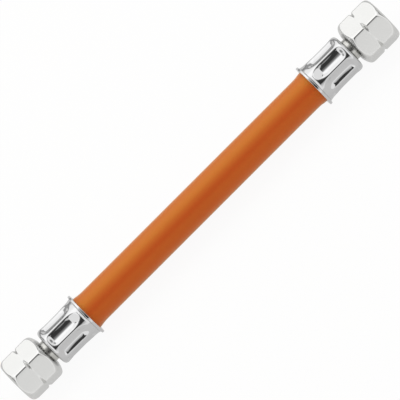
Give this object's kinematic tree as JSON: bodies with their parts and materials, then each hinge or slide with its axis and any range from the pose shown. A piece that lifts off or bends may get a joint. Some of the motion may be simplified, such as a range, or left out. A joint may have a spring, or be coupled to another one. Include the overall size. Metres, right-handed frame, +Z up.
{
  "type": "flexible gas hose",
  "caption": "Flexible gas hose of orange rubber with a crimped ferrule and a swivelling hexagonal union nut at each end, for joining a gas regulator to an appliance.",
  "frame": {"origin": "on the surface that the hose lies on, below the middle of its length", "axes": "+X along the hose, +Z up; the two ends mirror each other"},
  "size_m": [0.1864, 0.0196, 0.018],
  "materials": {
    "hose_rubber": "satin orange rubber",
    "ferrule_chrome": "polished chrome plate",
    "nut_plate": "satin nickel plate",
    "tail_steel": "turned and plated"
  },
  "bodies": {
    "hose_line": {"hose": "hose_rubber", "ferrule_left": "ferrule_chrome", "ferrule_right": "ferrule_chrome", "hose_tail_left": "tail_steel", "hose_tail_right": "tail_steel"},
    "union_nut_left": {"union_nut_left": "nut_plate"},
    "union_nut_right": {"union_nut_right": "nut_plate"}
  },
  "joints": [
    {"name": "union_nut_left_swivel", "type": "hinge", "parent": "hose_line", "child": "union_nut_left", "pos_m": [-0.0778, 0, 0.00898], "axis": [1, 0, 0], "continuous": true},
    {"name": "union_nut_right_swivel", "type": "hinge", "parent": "hose_line", "child": "union_nut_right", "pos_m": [0.0778, 0, 0.00898], "axis": [1, 0, 0], "continuous": true}
  ]
}
